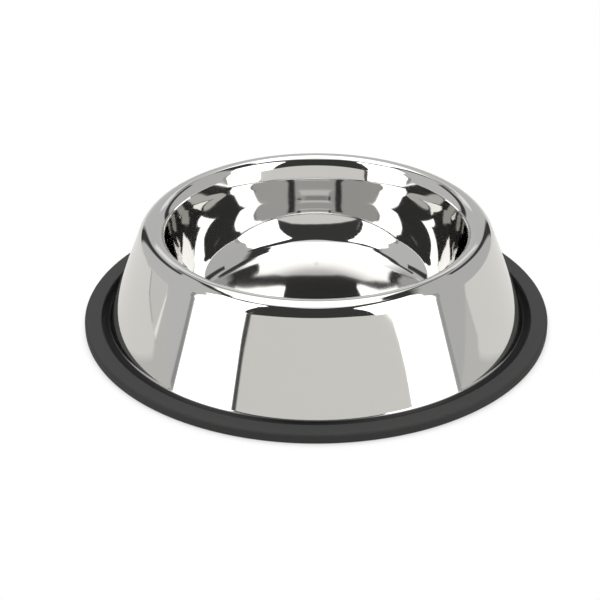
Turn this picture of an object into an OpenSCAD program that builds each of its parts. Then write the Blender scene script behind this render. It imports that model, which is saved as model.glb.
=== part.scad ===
// Dog bowl: one deep drawn sheet of stainless steel, standing in a rubber ring.
// The sheet runs without a seam from the dish floor, up the wall, over the rim,
// down the sloping skirt and out to a flat flange. It is hollow underneath.
// The rubber ring is split by a groove on its inside, and grips the flange.
// Origin: on the table, under the middle of the bowl. +Z is up.

/* [Overall] */
// Diameter over the rubber ring, the widest part
base_d = 250; // [220:1:290]
// Height of the rim above the table
bowl_h = 57; // [48:0.5:72]

/* [Rim] */
// Diameter of the circle along the top of the rim
rim_d = 170; // [150:1:190]
// Radius of the rim's roll towards the skirt
shoulder_r = 9.6; // [7:0.1:12]
// Radius of the crest, where the rim begins to roll into the dish
crest_r = 4; // [2.5:0.1:6]
// Slope at which the crest passes into the lip, in degrees from level
crest_angle = 30; // [22:1:40]
// Radius of the lip's roll, between the crest and the wall
lip_roll_r = 8; // [5:0.1:10]

/* [Sheet] */
// Thickness of the steel
sheet_t = 0.6; // [0.4:0.05:1]

/* [Dish wall] */
// Slope of the wall under the lip, in degrees from level
upper_wall_angle = 73; // [69:0.5:76]
// Length of the straight wall under the lip
upper_wall_l = 4.2; // [0.5:0.1:7]
// Radius of the gentle bend to the steeper wall below
waist_bend_r = 50; // [20:1:80]
// Slope of the steeper wall, in degrees from level
lower_wall_angle = 79.5; // [77:0.5:82]

/* [Dish floor] */
// Height of the middle of the floor above the table, on its upper side
floor_h = 2; // [1.5:0.1:6]
// Radius of the slight hollow at the foot of the wall
foot_r = 60; // [45:1:80]
// Slope at which the foot passes into the corner, in degrees from level
foot_angle = 64.5; // [60:0.5:70]
// Radius of the hollow corner between wall and floor
corner_r = 18.8; // [14:0.1:24]
// Slope at which the corner passes into the sweep, in degrees from level
corner_angle = 21.5; // [18:0.5:28]
// Radius of the hollow sweep between corner and floor
sweep_r = 64; // [40:1:90]
// Slope at which the sweep passes into the floor, in degrees from level
sweep_angle = 15.5; // [12:0.5:17.5]
// Radius of the floor's slight hollow, round its flat middle
floor_r = 142; // [100:1:150]

/* [Skirt foot] */
// Radius of the hollow flare between skirt and flange
flare_r = 5; // [3:0.1:6]
// Width of steel that the ring's lips cover
flange_grip = 5.2; // [4:0.1:5.6]

/* [Rubber ring] */
// Width of the ring's section
ring_w = 9; // [8:0.1:11]
// Height of the ring's section
ring_h = 5.5; // [5:0.1:8]
// Thickness of the lip under the flange
lower_lip_t = 2.1; // [1.6:0.1:2.6]
// Radius of the ring's outer edges
ring_edge_r = 1.4; // [0.5:0.1:2.2]
// Radius of the edges of both lips
lip_edge_r = 0.5; // [0.2:0.1:0.7]

/* [Fits] */
// Clearance between the flange and each lip
lip_gap = 0.1; // [0.05:0.05:0.3]
// Clearance between the flange's edge and the bottom of the groove
edge_gap = 0.3; // [0.1:0.05:0.5]

/* [Hidden] */
$fn = 144;
// Largest turn between two points of an arc, in degrees
arc_step = 5;
// Normals of level and upright faces, in degrees from the outward level line
facing_down = -90;
facing_out = 0;
facing_up = 90;
facing_in = 180;

// Radii and heights of the ring
ring_r = base_d / 2;
lip_r = ring_r - ring_w;
flange_under = lower_lip_t + lip_gap;
flange_top = flange_under + sheet_t;
groove_top = flange_top + lip_gap;
flange_edge = lip_r + flange_grip;
groove_r = flange_edge + edge_gap;

// Outer side: centres of flare and shoulder, as [radius, height], and the skirt's facing
rim_r = rim_d / 2;
flare_c = [lip_r, flange_top + flare_r];
shoulder_c = [rim_r, bowl_h - shoulder_r];
skirt_facing = skirt_normal(shoulder_c, shoulder_r, flare_c, flare_r);

// Facings of the dish where one stretch passes into the next
lip_facing = facing_up + crest_angle;
upper_facing = facing_up + upper_wall_angle;
lower_facing = facing_up + lower_wall_angle;
foot_facing = facing_up + foot_angle;
corner_facing = facing_up + corner_angle;
sweep_facing = facing_up + sweep_angle;

// Rounded stretches from the rim's top down to the steeper wall
crest_c = [rim_r, bowl_h - crest_r];
lip_c = next_centre(crest_c, crest_r, lip_roll_r, lip_facing);
upper_wall_top = lip_c + lip_roll_r * along(upper_facing);
upper_wall_end = upper_wall_top + upper_wall_l * down(upper_facing);
waist_c = upper_wall_end - waist_bend_r * along(upper_facing);
lower_wall_top = waist_c + waist_bend_r * along(lower_facing);

// The steeper wall takes up the height that the hollow stretches leave, and they
// are no larger than that wall has room for
hollow_h = rise(foot_r, lower_facing, foot_facing) + rise(corner_r, foot_facing, corner_facing)
    + rise(sweep_r, corner_facing, sweep_facing) + rise(floor_r, sweep_facing, facing_up);
wall_room = lower_wall_top[1] - floor_h;
hollow_share = min(1, wall_room / hollow_h);
lower_wall_l = (wall_room - hollow_share * hollow_h) / sin(lower_wall_angle);
lower_wall_end = lower_wall_top + lower_wall_l * down(lower_facing);

// Hollow stretches from the steeper wall to the flat middle of the floor
foot_bend_r = foot_r * hollow_share;
corner_bend_r = corner_r * hollow_share;
sweep_bend_r = sweep_r * hollow_share;
floor_bend_r = floor_r * hollow_share;
foot_c = lower_wall_end + foot_bend_r * along(lower_facing);
corner_c = next_centre(foot_c, -foot_bend_r, -corner_bend_r, foot_facing);
sweep_c = next_centre(corner_c, -corner_bend_r, -sweep_bend_r, corner_facing);
floor_c = next_centre(sweep_c, -sweep_bend_r, -floor_bend_r, sweep_facing);

// Unit vector at an angle
function along(a) = [cos(a), sin(a)];

// Way down along a dish wall that has this facing
function down(facing) = along(facing + facing_up);

// Height that a bend of radius r takes up between two facings
function rise(r, from, to) = r * abs(sin(to) - sin(from));

// Centre of the bend of radius r2 that carries on where the one of radius r1 ends;
// a hollow bend counts its radius as negative
function next_centre(c, r1, r2, facing) = c + (r1 - r2) * along(facing);

// Facing of the straight skirt that rests on the shoulder's circle and passes
// under the flare's circle, which lies on the other side of it
function skirt_normal(c1, r1, c2, r2) =
    let (v = c2 - c1)
    atan2(v[1], v[0]) + acos((r1 + r2) / norm(v));

// Points of a bend, moved by depth into the metal: where the facing falls along it,
// the face is hollow and the centre lies in front
function bend(c, r, from, to, depth = 0) =
    let (
        side = sign(to - from),
        steps = max(2, ceil(abs(to - from) / arc_step))
    )
    [for (k = [0:steps])
        c + (side * r - depth) * along(from + (to - from) * k / steps)];

// One face of the sheet, from the flange's edge to the middle of the dish
function sheet_face(depth) = concat(
    [[flange_edge, flange_top - depth]],
    bend(flare_c, flare_r, facing_up, skirt_facing, depth),
    bend(shoulder_c, shoulder_r, skirt_facing, facing_up, depth),
    bend(crest_c, crest_r, facing_up, lip_facing, depth),
    bend(lip_c, lip_roll_r, lip_facing, upper_facing, depth),
    bend(waist_c, waist_bend_r, upper_facing, lower_facing, depth),
    bend(foot_c, foot_bend_r, lower_facing, foot_facing, depth),
    bend(corner_c, corner_bend_r, foot_facing, corner_facing, depth),
    bend(sweep_c, sweep_bend_r, corner_facing, sweep_facing, depth),
    bend(floor_c, floor_bend_r, sweep_facing, facing_up, depth),
    [[0, floor_h - depth]]
);

// The points of a list in the other order
function reversed(list) = [for (i = [len(list) - 1:-1:0]) list[i]];

// Dish, rim, skirt and flange, pressed from one sheet
module steel_bowl() {
    color("silver")
    rotate_extrude()
        polygon(concat(sheet_face(0), reversed(sheet_face(sheet_t))));
}

// Ring with a groove on its inside that holds the flange
module rubber_ring() {
    outer_r = ring_r - ring_edge_r;
    inner_r = lip_r + lip_edge_r;
    color("dimgray")
    rotate_extrude()
        polygon(concat(
            bend([outer_r, ring_edge_r], ring_edge_r, facing_down, facing_out),
            bend([outer_r, ring_h - ring_edge_r], ring_edge_r, facing_out, facing_up),
            bend([inner_r, ring_h - lip_edge_r], lip_edge_r, facing_up, facing_in),
            [[lip_r, groove_top]],
            [[groove_r, groove_top]],
            [[groove_r, lower_lip_t]],
            [[lip_r, lower_lip_t]],
            bend([inner_r, lip_edge_r], lip_edge_r, facing_in, facing_in + facing_up)
        ));
}

steel_bowl();
rubber_ring();
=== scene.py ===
"""A polished steel feeding bowl in its rubber ring, on a white table in a small photographic studio.

Lengths are in metres, angles in degrees and light levels linear, where 1 is white. The bowl stands at the
origin with its axis along Z, and the camera looks at it along +Y.
"""

import bpy
import numpy as np
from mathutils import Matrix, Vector


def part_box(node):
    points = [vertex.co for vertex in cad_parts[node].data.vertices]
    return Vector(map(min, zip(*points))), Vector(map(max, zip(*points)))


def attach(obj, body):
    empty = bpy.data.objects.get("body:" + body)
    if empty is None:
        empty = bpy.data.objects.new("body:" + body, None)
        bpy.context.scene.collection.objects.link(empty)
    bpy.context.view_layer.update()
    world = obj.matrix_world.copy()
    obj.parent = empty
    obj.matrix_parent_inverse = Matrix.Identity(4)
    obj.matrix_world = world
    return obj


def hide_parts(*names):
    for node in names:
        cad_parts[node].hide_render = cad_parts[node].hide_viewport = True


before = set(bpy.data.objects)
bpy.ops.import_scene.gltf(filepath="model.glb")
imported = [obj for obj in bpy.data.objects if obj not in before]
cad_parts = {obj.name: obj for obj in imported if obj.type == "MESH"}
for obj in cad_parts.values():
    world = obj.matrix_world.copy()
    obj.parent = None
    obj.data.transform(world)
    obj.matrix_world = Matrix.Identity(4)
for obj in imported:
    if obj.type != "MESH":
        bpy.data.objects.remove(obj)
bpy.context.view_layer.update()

MM = 0.001

# Outer sizes, measured on the solids
steel_low, steel_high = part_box("steel_bowl")
_, ring_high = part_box("rubber_ring")
RING_R, RING_H = ring_high.x, ring_high.z
FLANGE_EDGE, BOWL_H = steel_high.x, steel_high.z

# Thickness of the steel, and the height of the dish floor's upper side
SHEET_T = 0.6 * MM
FLOOR_H = steel_low.z + SHEET_T

# The ring's section, and the clearances that it leaves round the flange
RING_W = 9 * MM
RING_EDGE_R = 1.4 * MM
LOWER_LIP_T = 2.1 * MM
LIP_EDGE_R = 0.5 * MM
LIP_GAP = 0.1 * MM
EDGE_GAP = 0.3 * MM

# Outer side of the steel: the flare at its foot, the rim's circle and its roll towards the skirt
FLARE_R = 5 * MM
RIM_R = 85 * MM
SHOULDER_R = 9.6 * MM

# Rolls of the rim and the wall's bend, from the rim's top inwards: radius, and slope at its end
CREST = (4 * MM, 30)
LIP_ROLL = (8 * MM, 73)
WAIST_BEND = (50 * MM, 79.5)

# Length of the short straight wall between the lip's roll and the wall's bend
UPPER_WALL_L = 4.2 * MM

# Hollow stretches from the wall to the flat middle of the floor: radius, and slope at its start
FOOT = (60 * MM, 79.5)
CORNER = (18.8 * MM, 64.5)
SWEEP = (64 * MM, 21.5)
FLOOR = (142 * MM, 15.5)

# Radius of the ring's inner side, and the groove in it
LIP_R = RING_R - RING_W
FLANGE_TOP = LOWER_LIP_T + LIP_GAP + SHEET_T
GROOVE_TOP = FLANGE_TOP + LIP_GAP
GROOVE_R = FLANGE_EDGE + EDGE_GAP

# Facings of level and upright faces, in degrees from the outward level line
DOWN, OUT, UP, IN = -90, 0, 90, 180

# How finely the surfaces are divided: places round the axis, degrees of an arc and length of a straight
TURNS = 256
ARC_STEP = 2
STRAIGHT_STEP = 6 * MM

# Points closer than this are one
SAME_PLACE = 1e-7

# Steel: two shades of its colour, the size of its smears, and its roughness with what smears add to it
STEEL_SHADES = ((0.665, 0.66, 0.645, 1), (0.695, 0.69, 0.675, 1))
SMEARS_PER_METRE = 24.0
STEEL_ROUGHNESS = 0.034
SMEAR_ROUGHNESS = 0.02

# Painted shade where the ring's lip shades the steel: the radius at which it starts, its soft width, the dark
# colour painted there, and how rough the steel is there
CREVICE_R = LIP_R - 4.5 * MM
CREVICE_FADE = 0.6 * MM
PAINTED_CREVICE_SHADE = (0.03, 0.03, 0.03, 1)
CREVICE_ROUGHNESS = 0.4

# Rubber: two shades of its colour, the size, depth and strength of its grain, its roughness with what grain
# adds to it, and how much of the light it mirrors
RUBBER_SHADES = ((0.024, 0.024, 0.0238, 1), (0.036, 0.036, 0.0352, 1))
GRAINS_PER_METRE = 1400.0
GRAIN_DEPTH = 0.2 * MM
GRAIN_STRENGTH = 0.25
RUBBER_ROUGHNESS = 0.55
GRAIN_ROUGHNESS = 0.15
RUBBER_GLOSS = 0.2

# The studio: its radius round the bowl, the step between its layers, and the elevation at which its walls end
STUDIO_R = 1.3
LAYER_STEP = 0.008
BELOW = -8

# Light levels of what the steel sees, and tints of it
DARK = 0.05
BRIGHT = 2.2
SOFT_BOX = 2.6
PLAIN = (1, 1, 1)
WARM = (1.0, 0.985, 0.955)

# How finely the studio's sheets are divided: degrees between columns, and shares of the height at which there
# are rows, closer together near the edges. A seam has steps along each stretch of its path, and lines across.
COLUMN_STEP = 2
ROW_SHARES = np.concatenate([[0, 0.01, 0.03], np.linspace(0.06, 0.94, 30), [0.97, 0.99, 1]])
SEAM_STEPS = 12
SEAM_LINES = 9

# The sheets on the table: how far they reach, and the height of the lowest and the step between them
TABLE_REACH = 1.29
TABLE_STEP = 0.2 * MM

# The photograph's view: distance and elevation of the camera, its lens and sensor in millimetres, and its
# shift in widths of the picture
CAMERA_DISTANCE = 0.875
CAMERA_ELEVATION = 29.91
FOCAL_LENGTH = 96.19
SENSOR_WIDTH = 36.0
SHIFT_RIGHT, SHIFT_UP = -0.0270, 0.0242


def along(angle):
    """Unit vectors at angles from the outward level line: the cosine outwards and the sine upwards."""
    turn = np.radians(angle)
    return np.stack([np.cos(turn), np.sin(turn)], -1)


def angle_of(way):
    """Angle of a way from the outward level line, in degrees."""
    return np.degrees(np.arctan2(way[1], way[0]))


def quarter_turned(way):
    """A way turned a quarter to the left, such as the way along a face from its normal."""
    return np.array([-way[1], way[0]])


def apart(first, second):
    """Whether two points of an outline lie at different places."""
    return np.hypot(*(first - second)) > SAME_PLACE


def corner(*point):
    """A corner of the outline, as a stretch of one point."""
    return np.array([point], float), np.zeros((1, 2))


def bend(centre, radius, start, end, depth=0.0):
    """An arc and its normals: from the centre, the radius less the depth along each facing from start to end.

    Where the facing falls along the arc, the face is hollow and its centre lies in front of it, so the radius
    counts as negative.
    """
    side = np.sign(end - start)
    facing = np.linspace(start, end, max(3, int(abs(end - start) / ARC_STEP) + 2))
    normals = along(facing)
    return np.asarray(centre) + (side * radius - depth) * normals, normals


def straight(start, end):
    """A straight stretch and its normals: evenly spread points, with the metal at the left of the way."""
    start, end = np.asarray(start, float), np.asarray(end, float)
    way = end - start
    length = np.hypot(*way)
    share = np.linspace(0, 1, int(length / STRAIGHT_STEP) + 2)[:, None]
    return start + share * way, np.repeat([-quarter_turned(way) / length], len(share), 0)


def joined(*parts):
    """A list of stretches, with a straight one wherever there is a gap between one and the next."""
    run = [parts[0]]
    for part in parts[1:]:
        gap_start, gap_end = run[-1][0][-1], part[0][0]
        if apart(gap_start, gap_end):
            run.append(straight(gap_start, gap_end))
        run.append(part)
    return run


def add_straight(run, length):
    """Adds a straight stretch to a run of stretches, in the way in which the run ends."""
    points, normals = run[-1]
    run.append(straight(points[-1], points[-1] + length * quarter_turned(normals[-1])))


def add_bend(run, radius, end, depth):
    """Adds an arc to a run of stretches, from the place and the facing at which the run ends.

    The run is one face of the sheet, moved by the depth into the metal, and radii count on the upper face.
    """
    points, normals = run[-1]
    start = angle_of(normals[-1]) % 360
    side = np.sign(end - start)
    centre = points[-1] - (side * radius - depth) * normals[-1]
    run.append(bend(centre, radius, start, end, depth))


def sheet_face(depth):
    """One face of the pressed sheet, from the flange's edge to the middle of the dish.

    Flange, flare, skirt and shoulder are arcs and the straight line that touches two of them. From the rim's
    top inwards each arc starts where the one before it ends: crest, lip roll, a short straight wall, the
    waist's bend, and then the straight wall and the hollow stretches down to the flat middle of the floor.
    That wall is as long as the height left for it.
    """
    flare = np.array([LIP_R, FLANGE_TOP + FLARE_R])
    shoulder = np.array([RIM_R, BOWL_H - SHOULDER_R])
    reach = flare - shoulder
    skirt = angle_of(reach) + np.degrees(np.arccos((SHOULDER_R + FLARE_R) / np.hypot(*reach)))
    run = joined(
        corner(FLANGE_EDGE, FLANGE_TOP - depth),
        bend(flare, FLARE_R, UP, skirt, depth),
        bend(shoulder, SHOULDER_R, skirt, UP, depth),
    )
    for radius, slope in (CREST, LIP_ROLL):
        add_bend(run, radius, UP + slope, depth)
    add_straight(run, UPPER_WALL_L)
    add_bend(run, WAIST_BEND[0], UP + WAIST_BEND[1], depth)

    hollows = [FOOT, CORNER, SWEEP, FLOOR]
    radii = np.array([radius for radius, _ in hollows])
    slopes = np.array([slope for _, slope in hollows] + [0])
    rise = radii @ np.diff(np.cos(np.radians(slopes)))
    points, normals = run[-1]
    drop = points[-1][1] + depth * normals[-1][1] - FLOOR_H - rise
    add_straight(run, drop / -normals[-1][0])
    for radius, slope in zip(radii, slopes[1:]):
        add_bend(run, radius, UP + slope, depth)
    return joined(*run, corner(0, FLOOR_H - depth))


def turned_over(run):
    """The same stretches walked the other way and facing the other way, for the face under the sheet."""
    return [(points[::-1], -normals[::-1]) for points, normals in reversed(run)]


def outline_sides(run):
    """The points of a closed outline, and its sides: numbers of the points at both ends, and both normals.

    Each stretch keeps its own normals at its ends, so that corners stay crisp and arcs stay exactly round.
    """
    rows, sides = [], []
    for points, normals in run:
        if not rows or apart(points[0], rows[-1]):
            rows.append(points[0])
        for k in range(1, len(points)):
            sides.append((len(rows) - 1, len(rows), normals[k - 1], normals[k]))
            rows.append(points[k])
    if not apart(rows[0], rows[-1]):
        rows.pop()
    first, last, facing_first, facing_last = (np.array(column) for column in zip(*sides))
    return np.array(rows), first, last % len(rows), facing_first, facing_last


def revolved(name, run, material):
    """A closed piece made by turning an outline, a list of stretches, round the Z axis.

    Point (r, z) of the outline lies at (r cos t, r sin t, z) at turn t, and its normal is turned in the same
    way. A point on the axis is one vertex, with a fan of triangles round it.
    """
    rows, first, last, facing_first, facing_last = outline_sides(run)
    turn = np.linspace(0, 2 * np.pi, TURNS, endpoint=False)
    cos, sin = np.cos(turn), np.sin(turn)
    on_axis = rows[:, 0] < SAME_PLACE
    size = np.where(on_axis, 1, TURNS)
    start = np.cumsum(size) - size
    verts = np.concatenate([
        np.array([[0, 0, z]]) if axis else np.stack([r * cos, r * sin, np.full(TURNS, z)], -1)
        for (r, z), axis in zip(rows, on_axis)
    ])

    def numbers(row, place):
        """Vertex numbers of rows at places round the axis, all alike for a row on the axis."""
        return start[row][:, None] + np.where(on_axis[row][:, None], 0, place)

    def turned(facing, place):
        """Normals of the outline, (out, up), turned to places round the axis."""
        out, up = facing[:, None, 0], facing[:, None, 1]
        return np.stack(np.broadcast_arrays(out * cos[place], out * sin[place], up), -1)

    here = np.arange(TURNS)
    there = (here + 1) % TURNS
    way_round = (
        (first, facing_first, here), (first, facing_first, there),
        (last, facing_last, there), (last, facing_last, here))
    corners = np.stack([numbers(row, place) for row, _, place in way_round], -1)
    normals = np.stack([turned(facing, place) for _, facing, place in way_round], -2)
    keep = np.ones(corners.shape, bool)
    keep[on_axis[first], :, 1] = False
    keep[on_axis[last], :, 3] = False
    corners, normals, keep = corners.reshape(-1, 4), normals.reshape(-1, 4, 3), keep.reshape(-1, 4)
    totals = keep.sum(1)

    mesh = bpy.data.meshes.new(name)
    mesh.vertices.add(len(verts))
    mesh.vertices.foreach_set("co", verts.ravel())
    mesh.loops.add(int(totals.sum()))
    mesh.loops.foreach_set("vertex_index", corners[keep])
    mesh.polygons.add(len(totals))
    mesh.polygons.foreach_set("loop_start", np.cumsum(totals) - totals)
    mesh.polygons.foreach_set("use_smooth", np.ones(len(totals), bool))
    mesh.update(calc_edges=True)
    mesh.validate()
    mesh.normals_split_custom_set(normals[keep])
    mesh.materials.append(material)
    piece = bpy.data.objects.new(name, mesh)
    bpy.context.scene.collection.objects.link(piece)
    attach(piece, "root")
    return piece


def steel_bowl(material):
    """The pressed sheet: its upper face, and its lower face walked back to the flange's edge."""
    upper, under = sheet_face(0), turned_over(sheet_face(SHEET_T))
    run = upper + under + [straight(under[-1][0][-1], upper[0][0][0])]
    piece = revolved("bowl_steel", run, material)
    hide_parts("steel_bowl")


def rubber_ring(material):
    """The ring's section: outer face with rounded edges, then the upper lip, the groove and the lower lip."""
    outer_r, inner_r = RING_R - RING_EDGE_R, LIP_R + LIP_EDGE_R
    run = joined(
        bend((outer_r, RING_EDGE_R), RING_EDGE_R, DOWN, OUT),
        bend((outer_r, RING_H - RING_EDGE_R), RING_EDGE_R, OUT, UP),
        bend((inner_r, RING_H - LIP_EDGE_R), LIP_EDGE_R, UP, IN),
        corner(LIP_R, GROOVE_TOP),
        corner(GROOVE_R, GROOVE_TOP),
        corner(GROOVE_R, LOWER_LIP_T),
        corner(LIP_R, LOWER_LIP_T),
        bend((inner_r, LIP_EDGE_R), LIP_EDGE_R, IN, IN + UP),
    )
    run.append(straight(run[-1][0][-1], run[0][0][0]))
    piece = revolved("ring_rubber", run, material)
    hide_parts("rubber_ring")


class Value:
    """The output of a node. Sums of values and numbers add Math nodes to the same tree."""

    def __init__(self, nodes, socket):
        self.nodes, self.socket = nodes, socket

    def maths(self, operation, *terms):
        """Adds a Math node with this operation on values and numbers."""
        return self.nodes.add("ShaderNodeMath", {"operation": operation}, dict(enumerate(terms)))

    def __add__(self, other):
        return self.maths("ADD", self, other)

    def __radd__(self, other):
        return self.maths("ADD", other, self)

    def __mul__(self, other):
        return self.maths("MULTIPLY", self, other)

    def __rmul__(self, other):
        return self.maths("MULTIPLY", other, self)

    def root(self):
        """The square root of this value."""
        return self.maths("SQRT", self)

    def unsigned(self):
        """This value without its sign."""
        return self.maths("ABSOLUTE", self)

    def or_more(self, other):
        """The larger of this value and another."""
        return self.maths("MAXIMUM", self, other)


class Nodes:
    """The node tree of one material or of the world, empty at first."""

    def __init__(self, tree):
        self.tree = tree
        tree.nodes.clear()

    def add(self, kind, settings=None, sockets=None, output=0):
        """Adds a node of a kind: its settings are set first, then the values or links of its sockets.

        The output is the name or number of the one that is wanted, or a tuple of several.
        """
        node = self.tree.nodes.new(kind)
        for name, setting in (settings or {}).items():
            setattr(node, name, setting)
        for key, given in (sockets or {}).items():
            if isinstance(given, Value):
                self.tree.links.new(given.socket, node.inputs[key])
            else:
                node.inputs[key].default_value = given
        if isinstance(output, tuple):
            return [Value(self, node.outputs[key]) for key in output]
        return Value(self, node.outputs[output]) if node.outputs else None

    def place(self):
        """The place of a point in the piece's own frame."""
        return self.add("ShaderNodeTexCoord", output="Object")

    def coordinates(self):
        """The x, y and z of a point in the piece's own frame."""
        return self.add("ShaderNodeSeparateXYZ", {}, {0: self.place()}, ("X", "Y", "Z"))

    def axis_distance(self):
        """How far a point lies from the bowl's axis."""
        x, y, _ = self.coordinates()
        return (x * x + y * y).root()

    def smooth(self, value, start, end, low=0.0, high=1.0):
        """A soft step from low to high, while the value rises from start to end."""
        return self.add("ShaderNodeMapRange", {"interpolation_type": "SMOOTHSTEP"}, {
            "Value": value, "From Min": float(start), "From Max": float(end), "To Min": low, "To Max": high})

    def noise(self, scale):
        """Noise with finer spots among the largest, of which there are about this many to a metre."""
        return self.add("ShaderNodeTexNoise", {}, {"Vector": self.place(), "Scale": scale, "Detail": 3.0})

    def blended(self, share, first, second):
        """A colour between two. A Mix node's sockets for colours are only known by their numbers."""
        return self.add("ShaderNodeMix", {"data_type": "RGBA"}, {0: share, 6: first, 7: second}, output=2)

    def glow(self, level, tint=PLAIN):
        """A surface that shines at this level, whatever lights it."""
        return self.add("ShaderNodeEmission", {}, {"Color": (*tint, 1), "Strength": level})

    def mixed(self, share, first, second):
        """A surface between two."""
        return self.add("ShaderNodeMixShader", {}, {0: share, 1: first, 2: second})

    def show(self, surface):
        """Makes this the surface of the material."""
        self.add("ShaderNodeOutputMaterial", {}, {"Surface": surface})


def new_material(name):
    """An empty node material and the nodes in it."""
    material = bpy.data.materials.new(name)
    material.use_nodes = True
    return material, Nodes(material.node_tree)


def polished_steel():
    """Mirror polished steel: bright, a little warm, softly smeared, and dull beside the ring, with shade
    painted dark into its colour there.
    """
    material, nodes = new_material("polished_steel")
    # Painted shade: the steel's colour darkens beside the ring's lip, where the lip's shade falls; the steel
    # is also rougher there
    painted_lip_shade = nodes.smooth(nodes.axis_distance(), CREVICE_R, CREVICE_R + CREVICE_FADE)
    smear = nodes.noise(SMEARS_PER_METRE)
    nodes.show(nodes.add("ShaderNodeBsdfPrincipled", {}, {
        "Base Color": nodes.blended(painted_lip_shade, nodes.blended(smear, *STEEL_SHADES), PAINTED_CREVICE_SHADE),
        "Metallic": 1.0,
        "Roughness": STEEL_ROUGHNESS + smear * SMEAR_ROUGHNESS + painted_lip_shade * CREVICE_ROUGHNESS}))
    return material


def black_rubber():
    """Matte moulded rubber: charcoal, with a fine grain."""
    material, nodes = new_material("black_rubber")
    grain = nodes.noise(GRAINS_PER_METRE)
    bump = nodes.add("ShaderNodeBump", {}, {
        "Height": grain, "Strength": GRAIN_STRENGTH, "Distance": GRAIN_DEPTH})
    nodes.show(nodes.add("ShaderNodeBsdfPrincipled", {}, {
        "Base Color": nodes.blended(grain, *RUBBER_SHADES),
        "Roughness": RUBBER_ROUGHNESS + grain * GRAIN_ROUGHNESS,
        "Specular IOR Level": RUBBER_GLOSS,
        "Normal": bump}))
    return material


def on_sphere(azimuth, elevation, layer):
    """Points of the studio round the bowl: azimuth 0 lies towards the camera and 90 to its right, 0 is level.

    Each layer is a sphere a little smaller than the one before it, so that it covers what lies behind.
    """
    a, e = np.radians(azimuth), np.radians(elevation)
    around = np.stack([np.sin(a) * np.cos(e), -np.cos(a) * np.cos(e), np.sin(e)], -1)
    return (STUDIO_R - layer * LAYER_STEP) * around


def studio_piece(name, points, cover, light, tint=PLAIN):
    """A light or dark piece of the studio, which only polished faces see.

    The points are a grid, and cover is how solid the piece is at each, from 0, clear, to 1. The light is a
    level, or a function that makes the shining surface from the material's nodes.
    """
    rows, columns = cover.shape
    grid = np.arange(rows * columns).reshape(rows, columns)
    quads = np.stack([grid[:-1, :-1], grid[:-1, 1:], grid[1:, 1:], grid[1:, :-1]], -1).reshape(-1, 4)
    mesh = bpy.data.meshes.new(name)
    mesh.from_pydata(points.reshape(-1, 3).tolist(), [], quads.tolist())
    mesh.attributes.new("cover", "FLOAT", "POINT").data.foreach_set("value", np.clip(cover, 0, 1).ravel())
    material, nodes = new_material(name)
    solid = nodes.add("ShaderNodeAttribute", {"attribute_name": "cover"}, output="Fac")
    clear = nodes.add("ShaderNodeBsdfTransparent")
    nodes.show(nodes.mixed(solid, clear, light(nodes) if callable(light) else nodes.glow(light, tint)))
    mesh.materials.append(material)
    piece = bpy.data.objects.new(name, mesh)
    bpy.context.scene.collection.objects.link(piece)
    piece.visible_camera = False
    piece.visible_diffuse = False
    piece.visible_shadow = False
    piece.visible_transmission = False


def studio_sheet(name, layer, light, foot, top, soft=0.8, soft_foot=None, tint=PLAIN):
    """A sheet of the studio between a foot line and a top line, fading in over a soft width at its edges.

    A line is a list of points (azimuth, elevation) with straight stretches between them, from left to right.
    The foot may be one elevation instead.
    """
    top_at, top_line = np.array(top, float).T
    foot_at, foot_line = (top_at, np.full(len(top), foot)) if np.isscalar(foot) else np.array(foot, float).T
    start, end = top_at[0], top_at[-1]
    columns = np.arange(start, end, COLUMN_STEP)
    azimuth = np.unique(np.concatenate([top_at, foot_at, columns, [start + soft, end - soft]]))[None, :]
    low, high = np.interp(azimuth, foot_at, foot_line), np.interp(azimuth, top_at, top_line)
    elevation = low + (high - low) * ROW_SHARES[:, None]
    inside = np.minimum(azimuth - start, end - azimuth) * np.cos(np.radians(elevation))
    cover = np.minimum(np.minimum(inside, high - elevation) / soft, (elevation - low) / (soft_foot or soft))
    points = on_sphere(np.broadcast_to(azimuth, cover.shape), elevation, layer)
    studio_piece(name, points, cover, light, tint)


def studio_seam(name, layer, path, width, light=DARK):
    """A narrow gap between sheets of the studio, along a path of azimuths and elevations."""
    path = np.array(path, float)
    place = np.linspace(0, len(path) - 1, SEAM_STEPS * (len(path) - 1) + 1)
    line = np.stack([np.interp(place, np.arange(len(path)), column) for column in path.T], -1)
    middle = on_sphere(line[:, 0], line[:, 1], layer)
    across = np.cross(middle, np.gradient(middle, axis=0))
    across /= np.linalg.norm(across, axis=1)[:, None]
    aside = np.linspace(-1, 1, SEAM_LINES)[:, None]
    points = middle + aside[..., None] * np.radians(width / 2) * STUDIO_R * across
    studio_piece(name, points, np.broadcast_to(2 * (1 - abs(aside)), points.shape[:2]), light)


def overhead_light(nodes):
    """Pale above the camera's side, and brighter towards the back."""
    _, y, _ = nodes.coordinates()
    back = nodes.smooth(y, -0.17 * STUDIO_R, 0.08 * STUDIO_R)
    return nodes.mixed(back, nodes.glow(0.9), nodes.glow(BRIGHT))


def back_wall_light(nodes):
    """Grey, with a bright band and a dark one across its middle, and bright overhead."""
    x, _, z = nodes.coordinates()
    aside = x.unsigned()

    def above(start, end, low=0.0, high=1.0):
        """A soft step between two elevations."""
        first, last = STUDIO_R * np.sin(np.radians([start, end]))
        return nodes.smooth(z, first, last, low, high)

    def within(start, end):
        """A soft step down from 1 between two distances aside, in studio radii."""
        return nodes.smooth(aside, start * STUDIO_R, end * STUDIO_R, 1.0, 0.0)

    bright_band = above(30.5, 32.5) * above(37.5, 39.5, 1.0, 0.0) * within(0.4, 0.46)
    dark_band = above(38.5, 40) * above(43.5, 45, 1.0, 0.0) * within(0.18, 0.3)
    wall = nodes.mixed(bright_band, nodes.glow(0.62), nodes.glow(1.0))
    wall = nodes.mixed(dark_band, wall, nodes.glow(0.4))
    return nodes.mixed(above(44, 58), wall, nodes.glow(BRIGHT))


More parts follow.
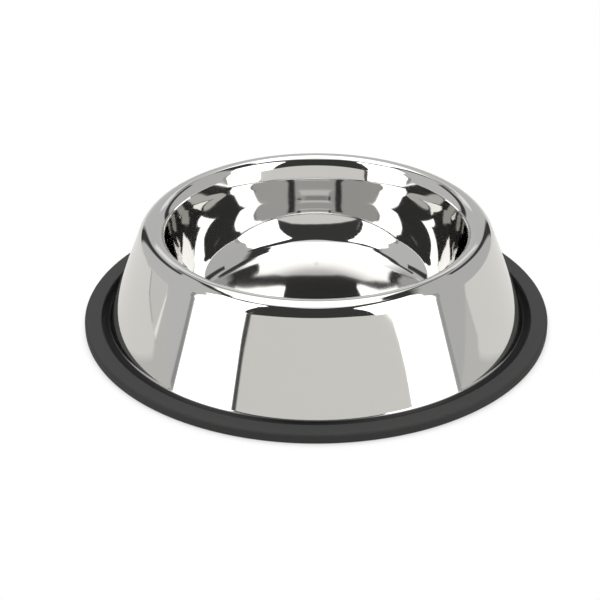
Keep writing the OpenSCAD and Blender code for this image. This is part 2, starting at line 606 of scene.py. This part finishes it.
def ceiling_and_back_wall():
    """The light overhead, which closes the studio all round, and the wall behind the bowl."""
    studio_sheet("overhead", 0, overhead_light, BELOW, top=[(-180, 89.9), (180, 89.9)], soft=0.01)
    studio_sheet("back_wall", 1, back_wall_light, BELOW, top=[(138, 89), (222, 89)], soft=2.0)


def soft_boxes():
    """The two large lights, whose tops lie behind the black flag."""
    studio_sheet("left_box", 2, SOFT_BOX, BELOW, top=[(-95, 60), (-92, 62.5), (-60, 72), (-40, 72)])
    studio_sheet("right_box", 2, SOFT_BOX, BELOW, top=[(30, 72), (60, 72), (95, 61)])


def side_walls():
    """The grey walls beside and behind the bowl, with slanting edges towards the soft boxes."""
    studio_sheet(
        "left_side", 3, light=0.64,
        foot=[(-155, 36), (-153, 34), (-150, 30), (-147, 24), (-143, BELOW), (-73.5, BELOW)],
        top=[
            (-155, 47), (-153, 50), (-147, 55), (-143, 57), (-138, 60), (-130, 61.5), (-120, 62),
            (-105, 62), (-98, 60.5), (-92, 56.5), (-88.5, 48.5), (-82, 44), (-78.5, 40), (-77.5, 30),
            (-77, 22), (-75, 11), (-73.5, 4)])
    studio_sheet(
        "right_side", 3, light=0.58,
        foot=[(72.5, BELOW), (144, BELOW), (146, 22), (150, 30), (158, 34), (160, 36)],
        top=[
            (72.5, 5), (74, 13), (76, 31), (76.8, 40), (80, 45), (86, 50), (92, 57), (98, 61), (108, 63.5),
            (120, 65), (150, 61), (154, 60), (158, 56), (160, 48)])


def front_card_and_flag():
    """The pale card before the bowl, and the black flag that arches over it, with a wing at either side."""
    studio_sheet(
        "front_card", 4, light=0.82, foot=BELOW, top=[
            (-39.8, 9.5), (-39, 11), (-38, 32), (34, 32), (34.4, 13.5), (39, 12), (43.5, 10.8), (45.4, 9.3),
            (46.8, 7.5), (47.4, 4)],
        soft=0.5, tint=WARM)
    left_wing = [(-104.5, 58), (-100, 59.5), (-90, 61.5), (-78, 63.6), (-66, 67.6), (-60, 68.4), (-54, 67.4)]
    left_edge = [(-50.5, 65.4), (-49, 60), (-48, 54), (-45.5, 52), (-43.5, 40), (-42, 16)]
    arch = [(-38, 12), (-31, 16.5), (-22, 20.5), (-12, 23), (0, 24), (12, 23.5), (22, 21.5), (33.6, 15)]
    right_edge = [(34.4, 56), (35, 62), (37, 64.8)]
    right_wing = [
        (42, 66), (48, 66.8), (60, 67), (78, 65.6), (90, 61.6), (97, 59.5), (103, 57), (106, 56.8),
        (107.5, 57.5)]
    studio_sheet(
        "front_flag", 5, DARK,
        foot=left_wing + left_edge + arch + right_edge + right_wing,
        top=[
            (-104.5, 60), (-103, 62.8), (-96, 66.5), (-90, 68.8), (-78, 70.4), (-72, 71.8), (-60, 75.4),
            (-54, 76.8), (-48, 77.7), (-42, 78), (33.6, 78), (48, 77.2), (60, 76.2), (78, 75.6), (84, 75),
            (90, 73.6), (97, 71.6), (103, 69), (106, 65.5), (107.5, 62)],
        soft=0.7, soft_foot=0.8)


def dark_gaps():
    """The dark gaps between card, soft boxes and walls, and those under the overhead light."""
    studio_seam("card_edge", 6, [
        (-40.3, BELOW), (-40.2, 6), (-40.2, 9.5), (-38.8, 11.6), (-37.8, 14), (-37.8, 24)],
        width=3, light=0.08)
    studio_seam("left_box_edge", 6, [
        (-75, BELOW), (-75.5, 3), (-77, 11), (-79, 22), (-81, 29)], width=3.2, light=0.34)
    studio_seam("right_box_edge", 6, [(74, BELOW), (74.5, 5), (76, 13), (79, 31)], width=3, light=0.42)
    studio_seam("left_back_gap", 6, [
        (-143, BELOW), (-142, 22), (-141, 27), (-139.5, 35), (-138, 42), (-138, 46)], width=12)
    studio_seam("right_back_gap", 6, [
        (147, BELOW), (146, 22), (144.7, 28), (143.3, 36), (142, 42), (142, 46)], width=11)
    studio_seam("left_top_gap", 7, [
        (-151, 42), (-150.5, 50), (-147, 52.5), (-142, 54), (-138, 55.5), (-132, 58), (-126, 60),
        (-120, 61.8), (-114, 62.5), (-108, 62.8), (-102, 62.5)], width=5.4)
    studio_seam("right_corner_gap", 7, [(157.5, 40), (157.5, 46), (156.5, 51), (154, 55)], width=3.5)
    studio_sheet(
        "right_top_gap", 7, DARK,
        foot=[
            (103, 57), (114, 58), (120, 58), (132, 57), (146, 54.5), (150, 52.5), (154, 50), (157.5, 46)],
        top=[(103, 70.5), (108, 71), (114, 71), (126, 70), (146, 66.5), (150, 64), (154, 60), (157.5, 53)],
        soft_foot=3.5)


def table_sheet(name, rows, light, cover, layer=0):
    """A light or dark sheet that lies on the table: rows of points (x, y), with a cover for each row."""
    points = np.array(rows, float)
    height = np.full((*points.shape[:2], 1), (layer + 1) * TABLE_STEP)
    shown = np.broadcast_to(np.array(cover, float)[:, None], points.shape[:2])
    studio_piece(name, np.concatenate([points, height], -1), shown, light, WARM)


def table_strip(name, path, width, light):
    """A narrow strip along a path (x, y) on the table, soft at both sides, above the other sheets."""
    path = np.array(path, float)
    way = np.gradient(path, axis=0)
    across = np.stack([-way[:, 1], way[:, 0]], -1) / np.linalg.norm(way, axis=1)[:, None]
    rows = [path + across * width * share for share in (-0.5, -0.2, 0.2, 0.5)]
    table_sheet(name, rows, light, cover=(0, 1, 1, 0), layer=2)


def table_glow():
    """The table as the steel sees it, pale all round the bowl."""
    turn = np.radians(np.linspace(0, 360, 97))
    circle = np.stack([np.cos(turn), np.sin(turn)], -1)
    radii = (RING_R - 0.5 * MM, 0.5, TABLE_REACH)
    table_sheet("table_glow", [circle * radius for radius in radii], light=0.86, cover=(1, 1, 1))


def table_shades():
    """The greyer table towards the camera, at the left and, mirrored, at the right."""
    edge = np.array([
        (0.1, -0.03), (0.172, -0.041), (0.3, -0.047), (0.38, -0.035), (0.437, -0.012), (0.8, 0.044),
        (TABLE_REACH, 0.12)])
    front = np.stack([edge[:, 0], np.full(len(edge), -TABLE_REACH)], -1)
    soft = np.array([0, 0.008])
    for side, name in ((-1, "left_table_shade"), (1, "right_table_shade")):
        rows = [line * (side, 1) for line in (edge + soft, edge - soft, front)]
        table_sheet(name, rows, light=0.66, cover=(0, 1, 1), layer=1)


def left_table_band():
    """A band across the table at the left, with a bright edge on the camera's side and a dark one beyond."""
    near = [(-0.445, -0.012), (-0.47, -0.007), (-0.6, 0.013), (-0.8, 0.044), (-1.2, 0.105)]
    far = [(-0.42, 0.02), (-0.385, 0.08), (-0.42, 0.165), (-0.67, 0.374), (-1.0, 0.65)]
    table_sheet("left_table_band", [near, far], light=0.74, cover=(1, 1), layer=1)
    table_strip("left_band_near_edge", near, width=0.03, light=1.1)
    table_strip("left_band_far_edge", far, width=0.02, light=0.4)


def white_table():
    """A pale table top that keeps a soft shadow near the bowl, and is lifted to plain white further away."""
    half, low = 3.0, -0.02 * MM
    corners = [(-half, -half, low), (half, -half, low), (half, half, low), (-half, half, low)]
    mesh = bpy.data.meshes.new("white_table")
    mesh.from_pydata(corners, [], [(0, 1, 2, 3)])
    material, nodes = new_material("white_table")
    lit = nodes.add("ShaderNodeBsdfDiffuse", {}, {"Color": (0.9, 0.9, 0.9, 1)})
    lifted = nodes.smooth(nodes.axis_distance(), 0.2, 0.6, low=0.6, high=1.0)
    nodes.show(nodes.mixed(lifted, lit, nodes.glow(1.0)))
    mesh.materials.append(material)
    table = bpy.data.objects.new("white_table", mesh)
    bpy.context.scene.collection.objects.link(table)


def white_room():
    """The world: white for the camera and in reflections, and a plain level on all that it lights."""
    world = bpy.data.worlds.new("white_room")
    bpy.context.scene.world = world
    world.use_nodes = True
    nodes = Nodes(world.node_tree)
    camera_ray, glossy_ray, transmission_ray = nodes.add(
        "ShaderNodeLightPath", output=("Is Camera Ray", "Is Glossy Ray", "Is Transmission Ray"))
    seen = camera_ray.or_more(glossy_ray).or_more(transmission_ray)
    plain = 0.36
    level = plain + seen * (1 - plain)
    sky = nodes.add("ShaderNodeBackground", {}, {"Color": (1, 1, 1, 1), "Strength": level})
    nodes.add("ShaderNodeOutputWorld", {}, {"Surface": sky})


def soft_lamp():
    """A large square lamp overhead, hidden from reflections."""
    data = bpy.data.lights.new("soft_lamp", "AREA")
    data.shape = "SQUARE"
    data.size = 1.6
    data.energy = 25.0
    lamp = bpy.data.objects.new("soft_lamp", data)
    lamp.location = (0, 0.1, 1.5)
    lamp.visible_glossy = False
    lamp.visible_camera = False
    bpy.context.scene.collection.objects.link(lamp)


def camera():
    """The photograph's view: level from side to side, aimed at the origin and then shifted."""
    data = bpy.data.cameras.new("camera")
    data.sensor_width = SENSOR_WIDTH
    data.lens = FOCAL_LENGTH
    data.shift_x = SHIFT_RIGHT
    data.shift_y = SHIFT_UP
    back, up = CAMERA_DISTANCE * along(CAMERA_ELEVATION)
    eye = bpy.data.objects.new("camera", data)
    eye.location = (0, -back, up)
    eye.rotation_mode = "QUATERNION"
    eye.rotation_quaternion = Vector((0, back, -up)).to_track_quat("-Z", "Y")
    bpy.context.scene.collection.objects.link(eye)
    bpy.context.scene.camera = eye


bpy.context.scene.view_settings.view_transform = "Standard"
camera()
steel_bowl(polished_steel())
rubber_ring(black_rubber())
white_table()
white_room()
soft_lamp()
ceiling_and_back_wall()
soft_boxes()
side_walls()
front_card_and_flag()
dark_gaps()
table_glow()
table_shades()
left_table_band()
